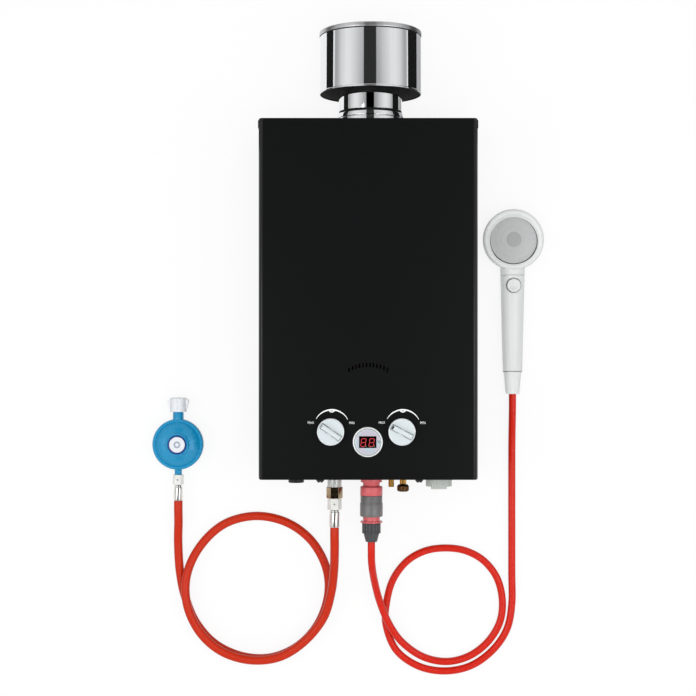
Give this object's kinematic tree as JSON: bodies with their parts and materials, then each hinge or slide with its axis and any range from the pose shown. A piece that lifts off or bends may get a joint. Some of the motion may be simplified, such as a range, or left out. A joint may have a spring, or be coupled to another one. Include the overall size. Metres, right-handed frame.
{
  "type": "portable propane water heater",
  "caption": "Portable tankless propane water heater with exhaust cap, two control knobs, display, gas hose with regulator, and shower hose with handset.",
  "frame": {"origin": "middle of the case's flat back, which lies on the surface", "axes": "+X to the right of the front panel, +Y from the pipe fittings towards the exhaust, +Z out of the front panel"},
  "size_m": [0.5321, 0.8675, 0.1433],
  "materials": {
    "black_sheet": "satin black powder coat on sheet steel",
    "black_hardware": "blackened steel, semi-matt",
    "polished_flue": "polished stainless sheet",
    "galvanised": "plain steel sheet, dull",
    "copper": "copper, dull",
    "die_cast": "as-cast aluminium",
    "ceramic": "white glazed ceramic",
    "black_plastic": "moulded black plastic",
    "brass": "turned brass",
    "dark_brass": "dark knurled brass",
    "black_rubber": "moulded rubber",
    "steel": "turned steel",
    "silver_plastic": "silver-white moulded plastic",
    "red_window": "dark red display window",
    "cell_jacket": "plain printed cell jacket",
    "grey_plastic": "light grey moulded plastic",
    "red_anodised": "red anodised, glossy",
    "charcoal_sleeve": "charcoal anodised, satin",
    "red_hose": "glossy red reinforced hose",
    "orange_hose": "orange-red rubber gas hose",
    "white_plastic": "glossy translucent white plastic",
    "spray_grey": "grey moulded plastic",
    "nickel": "nickel-plated brass",
    "blue_paint": "blue enamel on die casting",
    "white_cap": "white moulded plastic"
  },
  "bodies": {
    "case": {"back_plate": "black_sheet", "bottom_plate": "black_sheet", "top_plate": "black_sheet", "front_cover": "black_sheet", "cover_screws": "black_hardware", "flue_collar": "polished_flue", "exhaust_neck": "polished_flue", "cap_shell": "polished_flue", "cap_lid": "polished_flue", "flue_hood": "galvanised", "combustion_chamber": "copper", "exchanger_shell": "copper", "exchanger_fins": "copper", "exchanger_tubes": "copper", "water_coil": "copper", "burner_bars": "galvanised", "gas_manifold": "die_cast", "electrodes": "ceramic", "ignition_box": "black_plastic", "gas_valve": "die_cast", "water_valve": "brass", "valve_cover": "brass", "valve_diaphragm": "black_rubber", "micro_switch": "black_plastic", "cold_pipe": "copper", "hot_pipe": "copper", "display_bezel": "silver_plastic", "display_window": "red_window", "display_module": "black_plastic", "battery_box": "black_plastic", "battery_cells": "cell_jacket", "gas_inlet": "steel", "gas_union_nut": "brass", "cold_inlet": "black_hardware", "hot_outlet": "brass", "drain_valve": "brass", "tap_adapter": "red_anodised", "coupler_body": "red_anodised", "shower_hose": "red_hose", "handset_handle": "white_plastic", "head_shell": "white_plastic", "spray_face": "spray_grey", "gas_hose": "orange_hose", "gas_hose_fittings": "nickel", "regulator": "blue_paint", "regulator_cap": "white_cap"},
    "gas_knob": {"gas_knob": "silver_plastic", "gas_spindle": "brass"},
    "water_knob": {"water_knob": "silver_plastic", "water_spindle": "brass"},
    "push_rod": {"push_rod": "steel"},
    "battery_cap": {"battery_cap": "grey_plastic"},
    "drain_knob": {"drain_knob": "dark_brass"},
    "release_sleeve": {"release_sleeve": "charcoal_sleeve"},
    "coupler_nut": {"coupler_nut": "charcoal_sleeve"},
    "hose_cone_nut": {"hose_cone_nut": "white_plastic"},
    "handset_button": {"handset_button": "white_plastic"},
    "hose_swivel_nut": {"hose_swivel_nut": "nickel"},
    "regulator_swivel_nut": {"regulator_swivel_nut": "nickel"},
    "wing_nut": {"wing_nut": "white_cap"}
  },
  "joints": [
    {"name": "gas_knob_turn", "type": "hinge", "parent": "case", "child": "gas_knob", "pos_m": [-0.0484, -0.1709, 0.126], "axis": [0, 0, 1], "range_deg": [-120, 8]},
    {"name": "water_knob_turn", "type": "hinge", "parent": "case", "child": "water_knob", "pos_m": [0.0431, -0.1709, 0.126], "axis": [0, 0, 1], "range_deg": [-127, 0]},
    {"name": "push_rod_slide", "type": "slide", "parent": "case", "child": "push_rod", "axis": [-1, 0, 0], "range_m": [0, 0.003], "stiffness_N_per_m": 400, "springref_m": -0.002},
    {"name": "battery_cap_turn", "type": "hinge", "parent": "case", "child": "battery_cap", "pos_m": [0.0947, -0.24, 0.065], "axis": [0, -1, 0], "range_deg": [-90, 0]},
    {"name": "drain_knob_turn", "type": "hinge", "parent": "case", "child": "drain_knob", "pos_m": [0.0471, -0.25, 0.065], "axis": [0, -1, 0], "range_deg": [-720, 0]},
    {"name": "release_sleeve_slide", "type": "slide", "parent": "case", "child": "release_sleeve", "axis": [0, -1, 0], "range_m": [0, 0.005], "stiffness_N_per_m": 600, "springref_m": -0.003},
    {"name": "coupler_nut_turn", "type": "hinge", "parent": "case", "child": "coupler_nut", "pos_m": [0.005, -0.308, 0.065], "axis": [0, 1, 0], "continuous": true},
    {"name": "cone_nut_turn", "type": "hinge", "parent": "case", "child": "hose_cone_nut", "pos_m": [0.1985, -0.11, 0.017], "axis": [0, 1, 0], "continuous": true},
    {"name": "handset_button_press", "type": "slide", "parent": "case", "child": "handset_button", "axis": [0, 0, -1], "range_m": [0, 0.002], "stiffness_N_per_m": 500, "springref_m": -0.002},
    {"name": "hose_swivel_nut_turn", "type": "hinge", "parent": "case", "child": "hose_swivel_nut", "pos_m": [-0.044, -0.27, 0.065], "axis": [0, 1, 0], "continuous": true},
    {"name": "regulator_swivel_nut_turn", "type": "hinge", "parent": "case", "child": "regulator_swivel_nut", "pos_m": [-0.258, -0.243, 0.016], "axis": [0, 1, 0], "continuous": true},
    {"name": "wing_nut_turn", "type": "hinge", "parent": "case", "child": "wing_nut", "pos_m": [-0.258, -0.14, 0.016], "axis": [0, 1, 0], "continuous": true}
  ]
}
